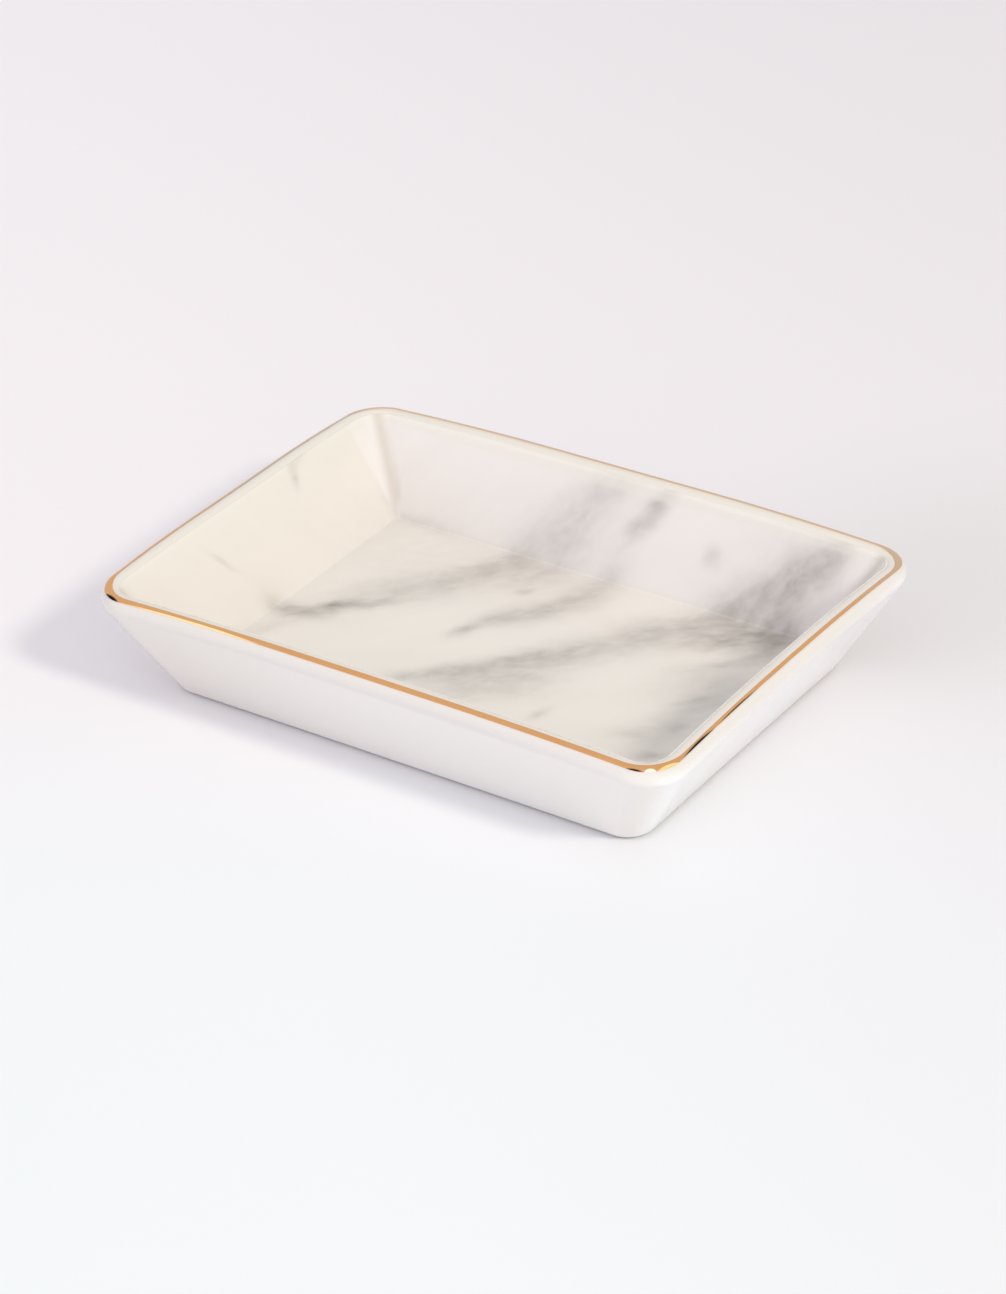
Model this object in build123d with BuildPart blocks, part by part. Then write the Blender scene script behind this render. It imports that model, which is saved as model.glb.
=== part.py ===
"""A small oblong ring dish: a slip-cast clay body, its white glaze, a marble print and a gold band."""
from build123d import *
import math
import os

# Sizes of the finished dish, in millimetres, with every coat on it. Its length and width are to the lines
# through the rim's corners, which the rounding and the sag of the corners keep just inside.
dish_length = 139.4
dish_width = 99.2
dish_height = 25.0
base_length = 112.5          # where the lines of the end walls meet the table
base_width = 78.1            # where the lines of the side walls meet the table
wall = 4.85                  # glazed thickness, square to the wall
floor_level = 4.3            # glazed floor above the table

# Corners and edges of the glazed surface.
rim_corner = 9.5             # plan radius of the outside wall, level with the rim
base_corner = 5.6            # plan radius of the outside wall, level with the table
floor_radius = 0.7           # hollow edge between the floor and the inside wall
base_radius = 1.2            # rounded edge under the outside wall
lip_land = 0.4               # narrow flat left along the crest between the lip's two rounds

# The rim is level along the middle of each side and sags towards the corners, as it left the kiln.
corner_drop = 1.7            # fall where the lines of two sides would cross
level_share = 0.6            # part of the way out to that crossing that stays level
crest_tilt = 20              # most that the crest may lean, in degrees, to count as the crest

# The walls draw in a little along the middle of each side as they dry, most at the rim.
base_hollow = 0.15           # how far in from the line of the corners, level with the table
end_rim_hollow = 1.0         # the same for an end wall, level with the rim
side_rim_hollow = 0.4        # and for a side wall, level with the rim

# The foot that the glaze is wiped from, so that the dish doesn't stick to the kiln shelf.
foot_height = 0.4
foot_inset = 2.6
foot_width = 3.2
foot_edge = 0.3              # bevel that the wiping leaves along the foot

# Coats, each laid on the one before and fired.
glaze_coat = 0.35
print_coat = 0.15
gold_coat = 0.15

# Where the print stops, and where the gold runs, as depths into the wall from its outer face.
print_drop = 0.45            # how far below the crest the print stops
gold_end_outer_depth = 2.34
gold_end_inner_depth = 3.09
gold_side_outer_depth = 2.08
gold_side_inner_depth = 3.28
gold_corner_gain = 1.7       # added to the plan radius of the gold's inner edge, which widens it at corners

overrun = 10.0               # how far cutting forms run past what they cut

lip_radius = (wall - lip_land) / 2
glaze_height = dish_height - gold_coat


def lean(rim_half, base_half):
    """Angle off upright of a flat wall that starts at the table and runs tangent into the round lip."""
    reach = rim_half - lip_radius - base_half
    rise = glaze_height - lip_radius
    return math.atan2(reach, rise) + math.asin(lip_radius / math.hypot(reach, rise))


end_lean = lean(dish_length / 2, base_length / 2)
side_lean = lean(dish_width / 2, base_width / 2)

# A corner flares out as it rises, and leans more along its diagonal than the walls beside it do. Its radius
# shrinks with depth at the rate that keeps the wall as thick round the corner as it is along the sides.
corner_growth = (rim_corner - base_corner) / glaze_height
diagonal = math.sqrt(0.5)
corner_slope = diagonal * (math.tan(end_lean) + math.tan(side_lean)) - (2 * diagonal - 1) * corner_growth
corner_lean = math.atan(corner_slope)
level_thickness = 1 / math.cos(end_lean) + 1 / math.cos(side_lean)
corner_rate = (diagonal * level_thickness - 1 / math.cos(corner_lean)) / (2 * diagonal - 1)


def outline(level, end_depth, side_depth, corner_gain):
    """The dish cut at one level, on the surface that lies a depth inside its outer face."""
    half_length = base_length / 2 + level * math.tan(end_lean) - end_depth / math.cos(end_lean)
    half_width = base_width / 2 + level * math.tan(side_lean) - side_depth / math.cos(side_lean)
    corner = base_corner + level * corner_growth - (end_depth + side_depth) / 2 * corner_rate
    rise_share = level / glaze_height
    end_hollow = base_hollow + (end_rim_hollow - base_hollow) * rise_share
    side_hollow = base_hollow + (side_rim_hollow - base_hollow) * rise_share
    with BuildSketch(Plane.XY.offset(level)) as section:
        with BuildLine():
            for hand in (1, -1):
                ThreePointArc(
                    (hand * half_length, -hand * half_width),
                    (hand * (half_length - end_hollow), 0),
                    (hand * half_length, hand * half_width),
                )
                ThreePointArc(
                    (hand * half_length, hand * half_width),
                    (0, hand * (half_width - side_hollow)),
                    (-hand * half_length, hand * half_width),
                )
        make_face()
        fillet(section.vertices(), corner + corner_gain)
    return section.sketch


def flared_form(low, end_depth, side_depth, corner_gain=0):
    """A solid with the lean of the outside wall, from a low level to above the rim."""
    with BuildPart() as form:
        add(outline(low, end_depth, side_depth, corner_gain))
        add(outline(dish_height + lip_radius, end_depth, side_depth, corner_gain))
        loft(ruled=True)
    return form.part


def hollow_form(coat):
    """The space inside the dish, grown into the wall and floor by a coat's thickness."""
    with BuildPart() as hollow:
        add(flared_form(floor_level - coat, wall - coat, wall - coat))
        fillet(hollow.faces().sort_by(Axis.Z)[0].edges(), floor_radius + coat)
    return hollow.part


def crest_form(coat):
    """All that lies under the rim: two ridges crossed, each level along its middle and falling at its ends."""
    half_length = dish_length / 2
    half_width = dish_width / 2
    crossing = 2 * half_length * half_width / math.hypot(half_length, half_width)
    start = crossing * level_share
    run = crossing - start
    sag_radius = (run ** 2 + corner_drop ** 2) / (2 * corner_drop) - coat
    top = glaze_height - coat
    end = crossing + overrun
    end_top = top - sag_radius + math.sqrt(sag_radius ** 2 - (end - start) ** 2)
    turn = math.atan2(half_length, half_width)
    with BuildPart() as form:
        for hand, mode in ((1, Mode.ADD), (-1, Mode.INTERSECT)):
            along = (math.cos(turn), hand * math.sin(turn), 0)
            across = (hand * math.sin(turn), -math.cos(turn), 0)
            with BuildSketch(Plane(origin=(0, 0, 0), x_dir=along, z_dir=across)):
                with BuildLine():
                    Line((start, top), (-start, top))
                    RadiusArc((-end, end_top), (-start, top), sag_radius)
                    Polyline((-end, end_top), (-end, -overrun), (end, -overrun), (end, end_top))
                    RadiusArc((start, top), (end, end_top), sag_radius)
                make_face()
            extrude(amount=dish_length, both=True, mode=mode)
    return form.part


def dish_form(coat):
    """The dish without its foot, with its whole surface set in by a coat's thickness."""
    outside = flared_form(foot_height + coat, coat, coat)
    hollow = hollow_form(coat)
    crest = crest_form(coat)
    with BuildPart() as form:
        add(outside)
        fillet(form.faces().sort_by(Axis.Z)[0].edges(), base_radius - coat)
        add(crest, mode=Mode.INTERSECT)
        add(hollow, mode=Mode.SUBTRACT)
        crown = form.faces().filter_by(lambda face: face.center().Z > dish_height / 2)
        crown = crown.filter_by(lambda face: face.normal_at().Z > math.cos(math.radians(crest_tilt)))
        edges = crown.edges()
        lip = [edge for edge in edges if sum(edge.is_same(other) for other in edges) == 1]
        fillet(lip, lip_radius - coat)
        # One quarter stands for all four, so that every corner comes out alike.
        split(bisect_by=Plane.XZ, keep=Keep.BOTTOM)
        split(bisect_by=Plane.YZ, keep=Keep.TOP)
        mirror(about=Plane.XZ)
        mirror(about=Plane.YZ)
    return form.part


os.makedirs("parts", exist_ok=True)

biscuit = dish_form(glaze_coat)
glazed = dish_form(0)
printed = dish_form(-print_coat)
gilded = dish_form(-gold_coat)
middle = floor_level / 2
print_zone = flared_form(middle, wall / 2, wall / 2)
print_top = crest_form(print_drop)
gold_zone = flared_form(dish_height / 2, gold_end_outer_depth, gold_side_outer_depth)
inside_gold = flared_form(dish_height / 2, gold_end_inner_depth, gold_side_inner_depth, gold_corner_gain)

with BuildPart() as clay_body:
    add(biscuit)
    with BuildSketch():
        RectangleRounded(
            base_length - 2 * foot_inset,
            base_width - 2 * foot_inset,
            base_corner,
        )
        RectangleRounded(
            base_length - 2 * (foot_inset + foot_width),
            base_width - 2 * (foot_inset + foot_width),
            base_corner - foot_width,
            mode=Mode.SUBTRACT,
        )
    extrude(amount=middle)
    chamfer(clay_body.faces().sort_by(Axis.Z)[0].edges(), foot_edge)
clay_body.part.label = "clay_body"
export_step(clay_body.part, "parts/clay_body.step")

with BuildPart() as white_glaze:
    add(glazed)
    add(clay_body.part, mode=Mode.SUBTRACT)
white_glaze.part.label = "white_glaze"
export_step(white_glaze.part, "parts/white_glaze.step")

with BuildPart() as marble_print:
    add(printed)
    add(glazed, mode=Mode.SUBTRACT)
    add(print_zone, mode=Mode.INTERSECT)
    add(print_top, mode=Mode.INTERSECT)
marble_print.part.label = "marble_print"
export_step(marble_print.part, "parts/marble_print.step")

with BuildPart() as gold_band:
    add(gilded)
    add(glazed, mode=Mode.SUBTRACT)
    add(gold_zone, mode=Mode.INTERSECT)
    add(inside_gold, mode=Mode.SUBTRACT)
gold_band.part.label = "gold_band"
export_step(gold_band.part, "parts/gold_band.step")
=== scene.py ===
"""Looks of a small oblong ring dish: bisque foot, white glaze, marble print and gold rim."""
import math
import bpy
from mathutils import Matrix, Vector

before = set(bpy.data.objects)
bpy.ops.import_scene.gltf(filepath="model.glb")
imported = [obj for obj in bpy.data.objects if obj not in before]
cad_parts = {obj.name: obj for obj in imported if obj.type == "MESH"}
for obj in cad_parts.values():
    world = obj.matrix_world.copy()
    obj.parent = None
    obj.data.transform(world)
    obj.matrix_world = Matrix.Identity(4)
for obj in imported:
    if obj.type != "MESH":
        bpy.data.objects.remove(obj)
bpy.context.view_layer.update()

# Clay body: white stoneware, slip-cast in a plaster mould and fired once before the glaze goes on.
# It shows only where the glaze is wiped off the foot ring, as a dry, sandy, off-white band.
mm = 0.001


def linear(hex_colour):
    """An sRGB hex colour as the linear RGBA that a shader takes."""
    channels = []
    for start in (1, 3, 5):
        value = int(hex_colour[start:start + 2], 16) / 255
        channels.append(value / 12.92 if value <= 0.04045 else ((value + 0.055) / 1.055) ** 2.4)
    return (*channels, 1.0)


def add_node(tree, kind, inputs=None, **settings):
    """Adds a node with its settings and links.

    An input takes a value, a socket, or a node, which stands for that node's first output.
    """
    made = tree.nodes.new(kind)
    for name, value in settings.items():
        setattr(made, name, value)
    for key, value in (inputs or {}).items():
        if isinstance(value, bpy.types.Node):
            value = value.outputs[0]
        if isinstance(value, bpy.types.NodeSocket):
            tree.links.new(value, made.inputs[key])
        else:
            made.inputs[key].default_value = value
    return made


def new_material(name):
    """An empty node material and its tree."""
    made = bpy.data.materials.new(name)
    made.use_nodes = True
    made.node_tree.nodes.clear()
    return made, made.node_tree


def dress(node_name, material):
    """Gives a CAD node's object one material, in place of its plain one."""
    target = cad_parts[node_name]
    for slot in target.material_slots:
        slot.material = material


grit = 0.5 * mm              # sand grains left on the wiped foot
grit_height = 0.05 * mm      # how far they stand out
stain = 9 * mm               # patches where the clay took up more or less glaze water
speck_start = 0.66           # grain noise at which a dark speck starts
speck_full = 0.74            # and at which it is full
bisque, tree = new_material("wiped_stoneware_bisque")
place = add_node(tree, "ShaderNodeTexCoord").outputs["Object"]
patches = add_node(tree, "ShaderNodeTexNoise", {
    "Vector": place,
    "Scale": 1 / stain,
    "Detail": 4.0,
})
grains = add_node(tree, "ShaderNodeTexNoise", {
    "Vector": place,
    "Scale": 1 / grit,
    "Detail": 2.0,
})
body_colour = add_node(tree, "ShaderNodeMix", {
    "Factor": patches,
    6: linear("#E7DFD2"),
    7: linear("#D8CCBA"),
}, data_type="RGBA")
speck = add_node(tree, "ShaderNodeMapRange", {
    "Value": grains,
    "From Min": speck_start,
    "From Max": speck_full,
})
body_speckled = add_node(tree, "ShaderNodeMix", {
    "Factor": speck,
    6: body_colour.outputs[2],
    7: linear("#B9AA94"),
}, data_type="RGBA")
sandy = add_node(tree, "ShaderNodeBump", {
    "Height": grains,
    "Distance": grit_height,
    "Strength": 0.6,
})
shader = add_node(tree, "ShaderNodeBsdfPrincipled", {
    "Base Color": body_speckled.outputs[2],
    "Roughness": 0.85,
    "Normal": sandy,
})
add_node(tree, "ShaderNodeOutputMaterial", {"Surface": shader})
dress("clay_body", bisque)

# White glaze: an opaque tin-white gloss, poured and dipped over the whole body but the foot.
# It froze in slow waves that bend its reflections; over the lip, left and right its colour holds
# painted light and shade.
wave = 16 * mm               # distance between the swells that the glaze froze in
wave_height = 0.12 * mm
cloud_size = 40 * mm         # faint patches in its white
lip_shade_start = 20.5 * mm        # height at which the lip's tone starts to show
lip_shade_full = 23.5 * mm         # and at which it has taken over
left_shade_start = 10 * mm         # place across the dish where the greyer left starts
left_shade_full = -62 * mm         # and where it is greyest
right_light_start = 0.5            # how squarely a face turns right where the right wall's tone starts
right_light_full = 0.85            # and where it has taken over
lip_turn = 0.15              # how far a face leans in or out where the lip's two tones meet
glaze, tree = new_material("white_tin_glaze_gloss")
place = add_node(tree, "ShaderNodeTexCoord").outputs["Object"]
swell = add_node(tree, "ShaderNodeTexNoise", {
    "Vector": place,
    "Scale": 1 / wave,
    "Detail": 1.0,
})
cloud = add_node(tree, "ShaderNodeTexNoise", {
    "Vector": place,
    "Scale": 1 / cloud_size,
    "Detail": 3.0,
})
height = add_node(tree, "ShaderNodeSeparateXYZ", {"Vector": place}).outputs["Z"]
# Painted shade: the lip's darker tone takes over with height.
lip_shade = add_node(tree, "ShaderNodeMapRange", {
    "Value": height,
    "From Min": lip_shade_start,
    "From Max": lip_shade_full,
}, interpolation_type="SMOOTHSTEP")
glaze_cloud = add_node(tree, "ShaderNodeMix", {
    "Factor": cloud,
    6: linear("#F2EEEB"),
    7: linear("#EEEAE6"),
}, data_type="RGBA")
# Painted shade: towards the left the glaze is coloured a shade greyer.
sideways = add_node(tree, "ShaderNodeSeparateXYZ", {"Vector": place}).outputs["X"]
painted_left_shade = add_node(tree, "ShaderNodeMapRange", {
    "Value": sideways,
    "From Min": left_shade_start,
    "From Max": left_shade_full,
}, interpolation_type="SMOOTHSTEP")
glaze_left_shaded = add_node(tree, "ShaderNodeMix", {
    "Factor": painted_left_shade,
    6: glaze_cloud.outputs[2],
    7: linear("#E7E2DD"),
}, data_type="RGBA")
# Painted light: on the right wall, which faces the lamp, the glaze is coloured whitest.
facing = add_node(tree, "ShaderNodeNewGeometry").outputs["Normal"]
right_facing = add_node(tree, "ShaderNodeSeparateXYZ", {"Vector": facing}).outputs["X"]
painted_right_light = add_node(tree, "ShaderNodeMapRange", {
    "Value": right_facing,
    "From Min": right_light_start,
    "From Max": right_light_full,
}, interpolation_type="SMOOTHSTEP")
glaze_right_lit = add_node(tree, "ShaderNodeMix", {
    "Factor": painted_right_light,
    6: glaze_left_shaded.outputs[2],
    7: linear("#F8F7F9"),
}, data_type="RGBA")
# Painted shade over the lip: a darker tone there, warmer inside beside the print and cooler
# outside.
level_place = add_node(tree, "ShaderNodeVectorMath", {
    0: place,
    1: (1.0, 1.0, 0.0),
}, operation="MULTIPLY")
outward = add_node(tree, "ShaderNodeVectorMath", {0: level_place}, operation="NORMALIZE")
turned_out = add_node(tree, "ShaderNodeVectorMath", {
    0: facing,
    1: outward,
}, operation="DOT_PRODUCT")
outside = add_node(tree, "ShaderNodeMapRange", {
    "Value": turned_out.outputs["Value"],
    "From Min": -lip_turn,
    "From Max": lip_turn,
}, interpolation_type="SMOOTHSTEP")
lip_shade_colour = add_node(tree, "ShaderNodeMix", {
    "Factor": outside,
    6: linear("#E6E1D8"),
    7: linear("#E4DFDB"),
}, data_type="RGBA")
glaze_colour = add_node(tree, "ShaderNodeMix", {
    "Factor": lip_shade,
    6: glaze_right_lit.outputs[2],
    7: lip_shade_colour.outputs[2],
}, data_type="RGBA")
swelling = add_node(tree, "ShaderNodeBump", {
    "Height": swell,
    "Distance": wave_height,
    "Strength": 0.5,
})
shader = add_node(tree, "ShaderNodeBsdfPrincipled", {
    "Base Color": glaze_colour.outputs[2],
    "Roughness": 0.1,
    "IOR": 1.5,
    "Normal": swelling,
})
add_node(tree, "ShaderNodeOutputMaterial", {"Surface": shader})
dress("white_glaze", glaze)

# Marble print: a sheet of grey ceramic colours, slid on wet and fired under a clear gloss.
# One sheet covers the floor and runs up the four walls, so its veins are laid out on the
# sheet unrolled. All sizes here are in millimetres.
floor_half_length = 53.2     # on the sheet, from its middle to the fold at each end wall
floor_half_width = 35.7      # and to the fold at each side wall
end_lean = math.radians(31.2)    # how far the end walls lean off upright
side_lean = math.radians(25.5)   # and the side walls
grain = math.radians(46)     # heading of the fine grain in the veins and the haze
wisp_length = 4.6
wisp_width = 2.4
least_ink = 0.70             # share of a stroke's ink that is left between its wisps
most_ink = 1.22              # and that is laid down in them
haze_length = 26.0
haze_width = 9.0
far_blend = 0.5              # half the width of the change of tone at the far wall's fold
edge_start = 21.4            # height at which the print starts to thin towards its top edge
edge_full = 22.6             # and at which it is thinnest
edge_share = 0.5             # how much of the glaze's tone then shows through
crease_shift = 1.4           # how far the crease lies off the corner's line, towards the side wall
crease_reach = 6.0           # how far off its line it fades out, both as a difference in rise
crease_shade_share = 0.5           # how far it darkens the print on its line
corner_blend = 1.0           # how far past the folds it takes to start

# Each vein is a run of soft strokes: across, up, heading in degrees, half length, half width,
# strength. They are placed from the middle of the unrolled sheet.
strokes = (
    (-47.5, -7.0, 12, 5.0, 2.3, 0.62),
    (-42.3, -1.6, 60, 3.4, 2.0, 0.58),
    (-38.5, 1.4, 35, 4.2, 1.6, 0.38),
    (-34.0, 5.4, 45, 3.2, 1.8, 0.22),
    (-49.5, -16.5, 62, 6.0, 1.9, 0.16),
    (-37.0, 8.5, 45, 9.0, 4.6, 0.22),
    (-28.0, 16.5, 45, 8.0, 4.8, 0.26),
    (-24.0, 26.0, 55, 6.0, 2.8, 0.28),
    (-21.0, 33.0, 75, 5.0, 2.8, 0.26),
    (-14.0, 30.0, 45, 9.0, 6.0, 0.26),
    (-11.2, 23.0, 40, 1.6, 1.2, 0.30),
    (-12.0, 41.0, 45, 9.0, 5.4, 0.18),
    (-8.0, 48.0, 45, 9.0, 4.6, 0.19),
    (-1.0, 55.0, 45, 6.0, 4.0, 0.20),
    (-13.0, 4.2, 68, 3.0, 1.6, 0.46),
    (-10.4, 9.6, 60, 2.8, 1.6, 0.26),
    (-8.0, 13.5, 52, 5.0, 3.2, 0.32),
    (-3.5, 18.5, 50, 5.0, 3.2, 0.35),
    (0.6, 26.0, 60, 5.6, 3.4, 0.33),
    (1.4, 34.5, 72, 6.4, 2.8, 0.24),
    (5.4, 47.0, 58, 2.8, 1.6, 0.28),
    (9.2, 52.6, 60, 5.2, 1.9, 0.44),
    (12.2, 58.5, 60, 3.0, 2.0, 0.30),
    (-14.0, -17.0, 45, 3.6, 1.8, 0.26),
    (-8.5, -12.5, 45, 4.6, 2.0, 0.30),
    (-3.5, -8.2, 42, 5.0, 2.4, 0.36),
    (2.0, -1.5, 58, 5.0, 2.6, 0.34),
    (-1.0, -14.5, 40, 9.0, 5.0, 0.26),
    (7.0, -6.0, 40, 8.0, 5.6, 0.26),
    (7.5, 4.0, 48, 6.0, 3.4, 0.32),
    (14.0, 11.0, 45, 8.0, 4.4, 0.32),
    (19.5, 21.0, 45, 6.0, 4.2, 0.34),
    (26.0, 28.0, 45, 7.0, 4.4, 0.36),
    (31.5, 33.5, 50, 5.0, 3.6, 0.34),
    (33.5, 26.0, 45, 7.0, 2.8, 0.40),
    (39.5, 28.5, 45, 6.0, 3.0, 0.34),
    (44.5, 33.5, 50, 5.0, 4.2, 0.46),
    (38.0, 33.0, 45, 6.0, 4.0, 0.26),
    (45.5, 27.0, 60, 4.0, 2.6, 0.32),
    (39.5, 18.8, 42, 7.0, 1.8, 0.26),
    (33.0, 40.0, 40, 7.0, 3.2, 0.26),
    (40.0, 43.0, 42, 8.0, 3.2, 0.30),
    (46.0, 46.5, 45, 6.5, 3.6, 0.36),
    (51.0, 53.0, 48, 7.0, 3.0, 0.30),
    (55.0, 58.5, 50, 4.0, 3.0, 0.26),
    (45.0, 51.0, 45, 12.0, 7.0, 0.14),
    (43.0, 38.5, 40, 6.0, 3.0, 0.26),
    (24.5, 46.0, 80, 1.9, 1.6, 0.24),
    (39.5, 11.0, 48, 9.0, 5.0, 0.20),
    # This broad stroke is partly vein and partly painted shade, darkening the floor beside the
    # right wall.
    (46.5, 6.0, 60, 9.0, 4.0, 0.22),
    (42.0, 4.4, 45, 3.4, 0.9, 0.20),
    (44.6, -5.2, 60, 2.0, 1.5, 0.28),
    (39.0, -11.5, 30, 4.0, 1.6, 0.20),
    (45.2, -16.4, 30, 2.4, 1.3, 0.32),
    (18.4, -15.0, 75, 2.4, 1.2, 0.26),
    (-76.0, 18.0, 105, 3.0, 1.4, 0.46),
    (-73.0, 14.8, 150, 2.4, 1.0, 0.30),
    (-66.0, -15.0, 32, 3.2, 0.6, 0.16),
    (-38.0, 28.0, 15, 17.0, 12.0, 0.09),
    (-48.0, 36.0, 0, 9.0, 1.2, 0.13),
    # Faint ones: two that run on to the near wall, one on the right wall, and one on the floor
    # that is partly painted shade beside the right wall.
    (-25.0, -34.0, 50, 13.0, 3.4, 0.24),
    (31.0, -36.0, 47, 10.0, 2.8, 0.18),
    (64.5, 18.0, 48, 10.0, 2.6, 0.21),
    (42.0, -9.0, 60, 10.0, 5.5, 0.12),
)
printed, tree = new_material("fired_marble_transfer_under_gloss")
place = add_node(tree, "ShaderNodeTexCoord").outputs["Object"]
in_mm = add_node(tree, "ShaderNodeVectorMath", {0: place, "Scale": 1 / mm}, operation="SCALE")
axes = add_node(tree, "ShaderNodeSeparateXYZ", {"Vector": in_mm})
unrolled = []
past_folds = []
for axis, fold, lean in (
    ("X", floor_half_length, end_lean),
    ("Y", floor_half_width, side_lean),
):
    distance = add_node(tree, "ShaderNodeMath", {0: axes.outputs[axis]}, operation="ABSOLUTE")
    beyond = add_node(tree, "ShaderNodeMath", {0: distance, 1: fold}, operation="SUBTRACT")
    on_wall = add_node(tree, "ShaderNodeMath", {0: beyond, 1: 0.0}, operation="MAXIMUM")
    past_folds.append(beyond)
    side = add_node(tree, "ShaderNodeMath", {0: axes.outputs[axis]}, operation="SIGN")
    gain = add_node(tree, "ShaderNodeMath", {
        0: on_wall,
        1: 1 / math.sin(lean) - 1,
    }, operation="MULTIPLY")
    unrolled.append(add_node(tree, "ShaderNodeMath", {
        0: gain,
        1: side,
        2: axes.outputs[axis],
    }, operation="MULTIPLY_ADD"))
sheet_place = add_node(tree, "ShaderNodeCombineXYZ", {
    "X": unrolled[0],
    "Y": unrolled[1],
    "Z": 0.0,
})
# The veins wander off the strokes: the size of each bend, and how far it carries them.
drift = sheet_place
for size, reach in ((13.0, 2.8), (3.6, 1.3)):
    wander = add_node(tree, "ShaderNodeTexNoise", {
        "Vector": sheet_place,
        "Scale": 1 / size,
        "Detail": 2.0,
    })
    centred = add_node(tree, "ShaderNodeVectorMath", {
        0: wander.outputs["Color"],
        1: (0.5, 0.5, 0.5),
    }, operation="SUBTRACT")
    drift = add_node(tree, "ShaderNodeVectorMath", {
        0: centred,
        1: (reach, reach, 0.0),
        2: drift,
    }, operation="MULTIPLY_ADD")
# A stroke is densest in its middle, and half as dense at its half length and half width.
bare = 1.0
for across, up, heading, half_length, half_width, strength in strokes:
    local = add_node(tree, "ShaderNodeMapping", {
        "Vector": drift,
        "Location": (across, up, 0.0),
        "Rotation": (0.0, 0.0, math.radians(heading)),
        "Scale": (half_length, half_width, 1.0),
    }, vector_type="TEXTURE")
    square = add_node(tree, "ShaderNodeVectorMath", {0: local, 1: local}, operation="DOT_PRODUCT")
    fade = add_node(tree, "ShaderNodeMath", {
        0: 0.5,
        1: square.outputs["Value"],
    }, operation="POWER")
    left_bare = add_node(tree, "ShaderNodeMath", {
        0: fade,
        1: -strength,
        2: 1.0,
    }, operation="MULTIPLY_ADD")
    bare = add_node(tree, "ShaderNodeMath", {0: left_bare, 1: bare}, operation="MULTIPLY")
inked = add_node(tree, "ShaderNodeMath", {0: 1.0, 1: bare}, operation="SUBTRACT")
along_grain = add_node(tree, "ShaderNodeMapping", {
    "Vector": drift,
    "Rotation": (0.0, 0.0, grain),
    "Scale": (wisp_length, wisp_width, 1.0),
}, vector_type="TEXTURE")
wisps = add_node(tree, "ShaderNodeTexNoise", {
    "Vector": along_grain,
    "Scale": 1.0,
    "Detail": 4.0,
})
wisp_gain = add_node(tree, "ShaderNodeMapRange", {
    "Value": wisps,
    "From Min": 0.3,
    "From Max": 0.7,
    "To Min": least_ink,
    "To Max": most_ink,
})
vein_ink = add_node(tree, "ShaderNodeMath", {
    0: inked,
    1: wisp_gain,
}, operation="MULTIPLY", use_clamp=True)
haze_map = add_node(tree, "ShaderNodeMapping", {
    "Vector": sheet_place,
    "Rotation": (0.0, 0.0, grain),
    "Scale": (haze_length, haze_width, 1.0),
}, vector_type="TEXTURE")
haze = add_node(tree, "ShaderNodeTexNoise", {
    "Vector": haze_map,
    "Scale": 1.0,
    "Detail": 4.0,
})
paper = add_node(tree, "ShaderNodeMix", {
    "Factor": haze,
    6: linear("#F3EEEC"),
    7: linear("#EBE6E4"),
}, data_type="RGBA")
marble_colour = add_node(tree, "ShaderNodeMix", {
    "Factor": vein_ink,
    6: paper.outputs[2],
    7: linear("#86807B"),
}, data_type="RGBA")
# Painted light: the far wall's print, which faces the front light, is coloured a touch paler and
# less yellow than the rest.
off_far_wall_light = add_node(tree, "ShaderNodeMapRange", {
    "Value": axes.outputs["Y"],
    "From Min": floor_half_width + far_blend,
    "From Max": floor_half_width - far_blend,
})
far_wall_lit_colour = add_node(tree, "ShaderNodeMix", {
    "Factor": off_far_wall_light,
    6: marble_colour.outputs[2],
    7: linear("#FBFAF5"),
}, data_type="RGBA", blend_type="MULTIPLY")
# Near its top edge the print thins over the glaze.
near_edge = add_node(tree, "ShaderNodeMapRange", {
    "Value": axes.outputs["Z"],
    "From Min": edge_start,
    "From Max": edge_full,
    "To Max": edge_share,
}, interpolation_type="SMOOTHSTEP")
edged_colour = add_node(tree, "ShaderNodeMix", {
    "Factor": near_edge,
    6: far_wall_lit_colour.outputs[2],
    7: linear("#EBE7DE"),
}, data_type="RGBA")
# Painted shade: in the four creases between the walls the print is coloured a shade darker.
# A distance past each fold is turned into a rise, and on the corner's line the two rises agree.
rise_by_side = add_node(tree, "ShaderNodeMath", {
    0: past_folds[1],
    1: 1 / math.tan(side_lean),
}, operation="MULTIPLY")
off_corner = add_node(tree, "ShaderNodeMath", {
    0: past_folds[0],
    1: -1 / math.tan(end_lean),
    2: rise_by_side,
}, operation="MULTIPLY_ADD")
off_crease = add_node(tree, "ShaderNodeMath", {
    0: off_corner,
    1: crease_shift,
}, operation="SUBTRACT")
off_either_side = add_node(tree, "ShaderNodeMath", {0: off_crease}, operation="ABSOLUTE")
crease_shade_line = add_node(tree, "ShaderNodeMapRange", {
    "Value": off_either_side,
    "From Min": crease_reach,
    "From Max": 0.0,
    "To Max": crease_shade_share,
}, interpolation_type="SMOOTHSTEP")
least_past = add_node(tree, "ShaderNodeMath", {
    0: past_folds[0],
    1: past_folds[1],
}, operation="MINIMUM")
up_corner = add_node(tree, "ShaderNodeMapRange", {
    "Value": least_past,
    "From Min": -corner_blend,
    "From Max": corner_blend,
}, interpolation_type="SMOOTHSTEP")
crease_shade = add_node(tree, "ShaderNodeMath", {0: crease_shade_line, 1: up_corner}, operation="MULTIPLY")
crease_shaded_colour = add_node(tree, "ShaderNodeMix", {
    "Factor": crease_shade,
    6: edged_colour.outputs[2],
    7: linear("#CBBDAC"),
}, data_type="RGBA")
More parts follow.
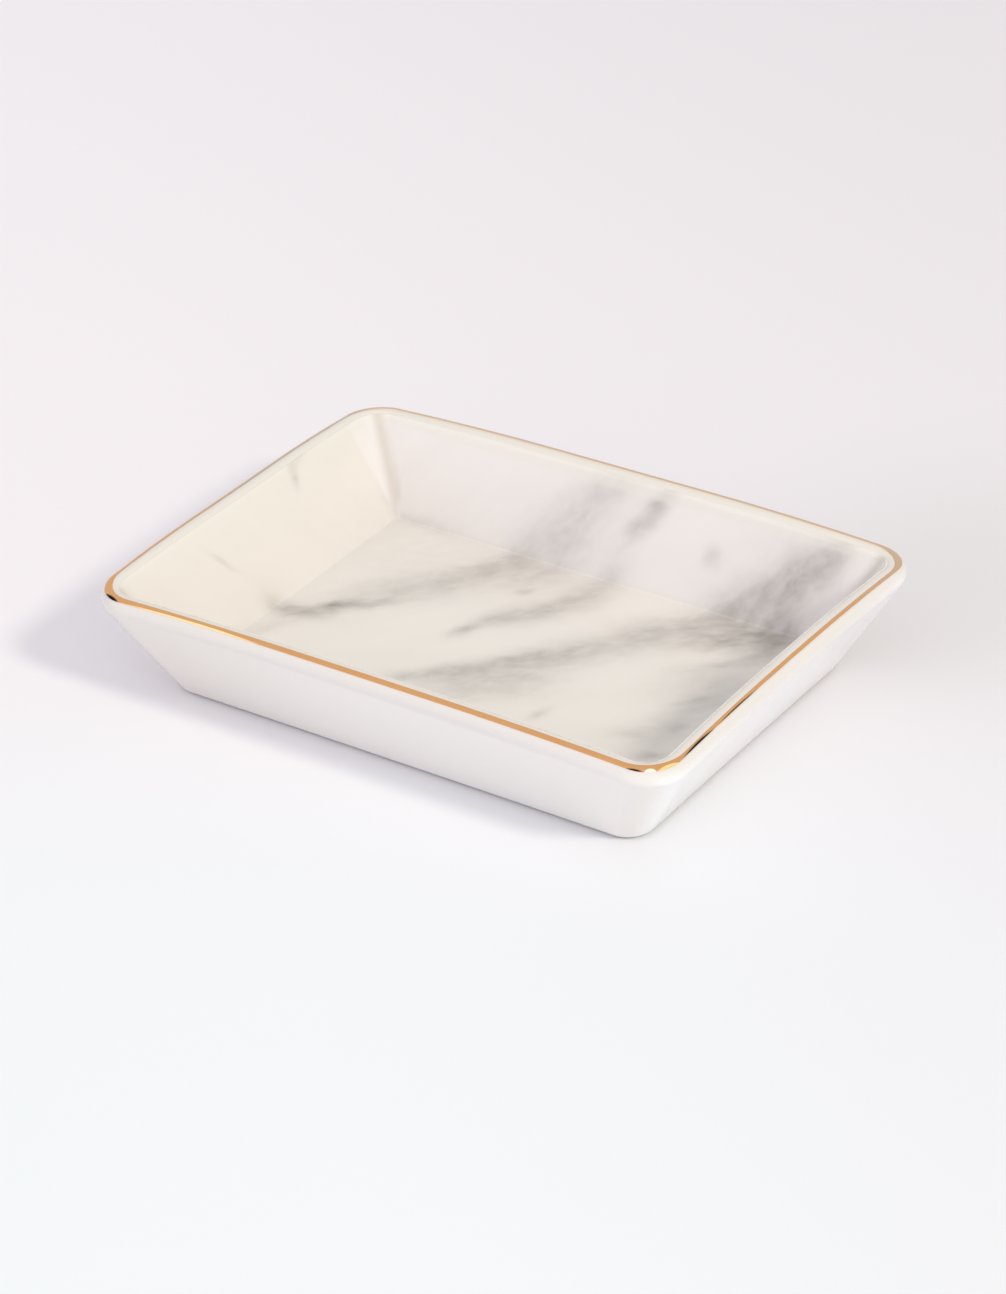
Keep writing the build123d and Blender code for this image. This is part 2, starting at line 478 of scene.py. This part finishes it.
# The gloss over it keeps the swells of the glaze below.
swell = add_node(tree, "ShaderNodeTexNoise", {
    "Vector": place,
    "Scale": 1 / wave,
    "Detail": 1.0,
})
swelling = add_node(tree, "ShaderNodeBump", {
    "Height": swell,
    "Distance": wave_height,
    "Strength": 0.5,
})
shader = add_node(tree, "ShaderNodeBsdfPrincipled", {
    "Base Color": crease_shaded_colour.outputs[2],
    "Roughness": 0.12,
    "IOR": 1.5,
    "Normal": swelling,
})
add_node(tree, "ShaderNodeOutputMaterial", {"Surface": shader})
dress("marble_print", printed)

# Gold band: liquid bright gold, brushed round the lip by hand and fired last, under a micron
# thick. It mirrors like metal, a little uneven where the brush started, lapped and stopped.
brush_mark = 5 * mm          # size of the unevenness that the brush left
brush_height = 0.1 * mm
pale_way = (-0.35, 0.94, 0.0)    # towards the far and left sides, where the gold is palest
pale_start = -20 * mm
pale_full = 35 * mm
reflection_full_share = 0.75             # share of a toned place's size within which its tone is full
glint_way = (0.2, -0.8, 0.57)    # the way that its glinting edge faces
# Along its outer edge painted reflections and highlights make it dark in places and bright in
# others, where it turns over the lip.
# Each place: across, up, heading in degrees, half length, half width, colour, and how far it
# takes the glinting edge's direction. Places and sizes are millimetres from the dish's middle.
edge_reflections = (
    (-43.0, -48.95, 0, 27.0, 1.35, "#FFE3A6", 1.0),
    (-62.4, -48.5, -22, 4.6, 1.6, "#1E140C", 0.0),
    (62.2, -48.5, 15, 3.6, 1.25, "#2A1C10", 0.0),
    (68.6, -34.5, 90, 8.0, 1.35, "#1E140C", 0.0),
    (68.4, -20.0, 90, 11.0, 1.0, "#6A4420", 0.0),
    (67.8, -43.6, 62, 4.0, 1.45, "#FFDC90", 1.0),
    (65.0, -46.9, 45, 1.5, 1.3, "#FFF6E0", 1.0),
)
gold, tree = new_material("fired_liquid_bright_gold")
place = add_node(tree, "ShaderNodeTexCoord").outputs["Object"]
brush = add_node(tree, "ShaderNodeTexNoise", {
    "Vector": place,
    "Scale": 1 / brush_mark,
    "Detail": 3.0,
})
gold_colour = add_node(tree, "ShaderNodeMix", {
    "Factor": brush,
    6: linear("#FFC88B"),
    7: linear("#FFB879"),
}, data_type="RGBA")
towards_pale = add_node(tree, "ShaderNodeVectorMath", {
    0: place,
    1: pale_way,
}, operation="DOT_PRODUCT")
# Towards the far and left sides the gold is coloured paler.
paler_far_and_left = add_node(tree, "ShaderNodeMapRange", {
    "Value": towards_pale.outputs["Value"],
    "From Min": pale_start,
    "From Max": pale_full,
}, interpolation_type="SMOOTHSTEP")
band_colour = add_node(tree, "ShaderNodeMix", {
    "Factor": paler_far_and_left,
    6: gold_colour.outputs[2],
    7: linear("#EED2B4"),
}, data_type="RGBA").outputs[2]
glint = 0.0
# Each place paints a reflection or a highlight into the band's colour.
for across, up, heading, half_length, half_width, reflection_hex, glint_share in edge_reflections:
    local = add_node(tree, "ShaderNodeMapping", {
        "Vector": place,
        "Location": (across * mm, up * mm, 0.0),
        "Rotation": (0.0, 0.0, math.radians(heading)),
        "Scale": (half_length * mm, half_width * mm, 1.0),
    }, vector_type="TEXTURE")
    off_middle = add_node(tree, "ShaderNodeVectorMath", {0: local}, operation="LENGTH")
    reflection_mask = add_node(tree, "ShaderNodeMapRange", {
        "Value": off_middle.outputs["Value"],
        "From Min": 1.0,
        "From Max": reflection_full_share,
    }, interpolation_type="SMOOTHSTEP")
    band_colour = add_node(tree, "ShaderNodeMix", {
        "Factor": reflection_mask,
        6: band_colour,
        7: linear(reflection_hex),
    }, data_type="RGBA").outputs[2]
    glint = add_node(tree, "ShaderNodeMath", {
        0: reflection_mask,
        1: glint_share,
        2: glint,
    }, operation="MULTIPLY_ADD", use_clamp=True)
unevenness = add_node(tree, "ShaderNodeBump", {
    "Height": brush,
    "Distance": brush_height,
    "Strength": 0.5,
})
turned_over = add_node(tree, "ShaderNodeMix", {
    "Factor": glint,
    4: unevenness,
    5: glint_way,
}, data_type="VECTOR").outputs[1]
shader = add_node(tree, "ShaderNodeBsdfPrincipled", {
    "Base Color": band_colour,
    "Metallic": 1.0,
    "Roughness": 0.16,
    "Normal": turned_over,
})
add_node(tree, "ShaderNodeOutputMaterial", {"Surface": shader})
dress("gold_band", gold)

# Table: a sheet of matt white card, a little cool, that runs out of the picture on every side.
# Its tone shifts slowly from blue in front to pink behind, and painted shade darkens it farther
# back and past the dish.
table_half = 2.0             # metres from its middle to each edge
table_level = -0.02 * mm     # a hair under the foot, so that the two faces don't share one plane
pink_way = (-0.58, 0.81, 0.0)
pink_start = -110 * mm
pink_full = 50 * mm
far_way = (0.64, 0.77, 0.0)
far_start = -120 * mm
far_full = 260 * mm
shade_spot_middle = (70 * mm, 88 * mm, 0.0)
shade_spot_reach = 85 * mm
shade_spot_share = 0.7
table_mesh = bpy.data.meshes.new("table")
table_mesh.from_pydata(
    [
        (-table_half, -table_half, table_level),
        (table_half, -table_half, table_level),
        (table_half, table_half, table_level),
        (-table_half, table_half, table_level),
    ],
    [],
    [(0, 1, 2, 3)],
)
table = bpy.data.objects.new("table", table_mesh)
bpy.context.scene.collection.objects.link(table)
card, tree = new_material("matt_white_card")
place = add_node(tree, "ShaderNodeTexCoord").outputs["Object"]
towards_pink = add_node(tree, "ShaderNodeVectorMath", {
    0: place,
    1: pink_way,
}, operation="DOT_PRODUCT")
pinker = add_node(tree, "ShaderNodeMapRange", {
    "Value": towards_pink.outputs["Value"],
    "From Min": pink_start,
    "From Max": pink_full,
}, interpolation_type="SMOOTHSTEP")
sheet_tint = add_node(tree, "ShaderNodeMix", {
    "Factor": pinker,
    6: linear("#F2F6FA"),
    7: linear("#F5F1F5"),
}, data_type="RGBA")
# Painted shade: the card is coloured darker farther back.
towards_far = add_node(tree, "ShaderNodeVectorMath", {
    0: place,
    1: far_way,
}, operation="DOT_PRODUCT")
painted_far_shade = add_node(tree, "ShaderNodeMapRange", {
    "Value": towards_far.outputs["Value"],
    "From Min": far_start,
    "From Max": far_full,
}, interpolation_type="SMOOTHSTEP")
sheet_colour = add_node(tree, "ShaderNodeMix", {
    "Factor": painted_far_shade,
    6: sheet_tint.outputs[2],
    7: linear("#E8E4E8"),
}, data_type="RGBA")
# Painted shade: a soft darker spot on the card past the dish.
off_shade_spot = add_node(tree, "ShaderNodeVectorMath", {
    0: place,
    1: shade_spot_middle,
}, operation="DISTANCE")
painted_spot_shade = add_node(tree, "ShaderNodeMapRange", {
    "Value": off_shade_spot.outputs["Value"],
    "From Min": shade_spot_reach,
    "From Max": 0.0,
    "To Max": shade_spot_share,
}, interpolation_type="SMOOTHSTEP")
spot_shaded_colour = add_node(tree, "ShaderNodeMix", {
    "Factor": painted_spot_shade,
    6: sheet_colour.outputs[2],
    7: linear("#E0DDDE"),
}, data_type="RGBA")
shader = add_node(tree, "ShaderNodeBsdfPrincipled", {
    "Base Color": spot_shaded_colour.outputs[2],
    "Roughness": 0.9,
})
add_node(tree, "ShaderNodeOutputMaterial", {"Surface": shader})
table_mesh.materials.append(card)

# Light: a bright even room, brightest in front, and a little dimmer to the right behind the lamp.
# One soft lamp far off to the right throws the short shadow on the left.
world = bpy.data.worlds.new("studio")
world.use_nodes = True
tree = world.node_tree
tree.nodes.clear()
outlook = add_node(tree, "ShaderNodeTexCoord").outputs["Generated"]
# Each part of the room: the way to it, where it starts, and the light it adds or takes away.
room = (0.680, 0.680, 0.688)
for towards, start, glow in (
    ((0.10, -0.90, 0.42), 0.10, (0.44, 0.42, 0.47)),
    ((0.95, -0.10, 0.30), 0.00, (-0.08, -0.08, -0.10)),
):
    nearness = add_node(tree, "ShaderNodeVectorMath", {
        0: outlook,
        1: Vector(towards).normalized(),
    }, operation="DOT_PRODUCT")
    lobe = add_node(tree, "ShaderNodeMapRange", {
        "Value": nearness.outputs["Value"],
        "From Min": start,
        "From Max": 1.0,
    }, interpolation_type="SMOOTHSTEP")
    room = add_node(tree, "ShaderNodeVectorMath", {
        0: lobe,
        1: glow,
        2: room,
    }, operation="MULTIPLY_ADD")
surround = add_node(tree, "ShaderNodeBackground", {"Color": room, "Strength": 1.0})
add_node(tree, "ShaderNodeOutputWorld", {"Surface": surround})
bpy.context.scene.world = world

lamp_distance = 3.0          # metres from the middle of the dish
lamp_width = 0.5             # metres across
lamp_power = 33.0            # watts
lamp_towards = Vector((30.8, -4.1, 25.0)).normalized()
lamp_data = bpy.data.lights.new("soft_lamp", "AREA")
lamp_data.shape = "DISK"
lamp_data.size = lamp_width
lamp_data.energy = lamp_power
lamp_data.color = linear("#FFFBE8")[:3]
lamp = bpy.data.objects.new("soft_lamp", lamp_data)
lamp.location = lamp_towards * lamp_distance
lamp.rotation_euler = lamp_towards.to_track_quat("Z", "Y").to_euler()
lamp.visible_glossy = False
bpy.context.scene.collection.objects.link(lamp)

# Camera: a long lens from the front right, above the dish and looking down on it by 31 degrees.
# It is turned by about 3 degrees in its mount, so the picture leans as much.
azimuth = math.radians(35.76)
elevation = math.radians(30.95)
roll = math.radians(-2.84)
aim = Vector((-6.81, 8.48, 0.0)) * mm
camera_distance = 799.7 * mm
sensor_width = 36.0          # millimetres, as the lens is
lens_length = 107.97
nearest_seen = 0.01          # metres
back = Vector((
    math.sin(azimuth) * math.cos(elevation),
    -math.cos(azimuth) * math.cos(elevation),
    math.sin(elevation),
))
right = (-back).cross(Vector((0.0, 0.0, 1.0))).normalized()
upward = right.cross(-back)
turned_right = right * math.cos(roll) + upward * math.sin(roll)
turned_up = upward * math.cos(roll) - right * math.sin(roll)
camera_data = bpy.data.cameras.new("camera")
camera_data.sensor_width = sensor_width
camera_data.lens = lens_length
camera_data.clip_start = nearest_seen
camera = bpy.data.objects.new("camera", camera_data)
camera_turn = Matrix((turned_right, turned_up, back)).transposed().to_4x4()
camera.matrix_world = Matrix.Translation(aim + back * camera_distance) @ camera_turn
bpy.context.scene.collection.objects.link(camera)
bpy.context.scene.camera = camera
bpy.context.scene.view_settings.view_transform = "Standard"
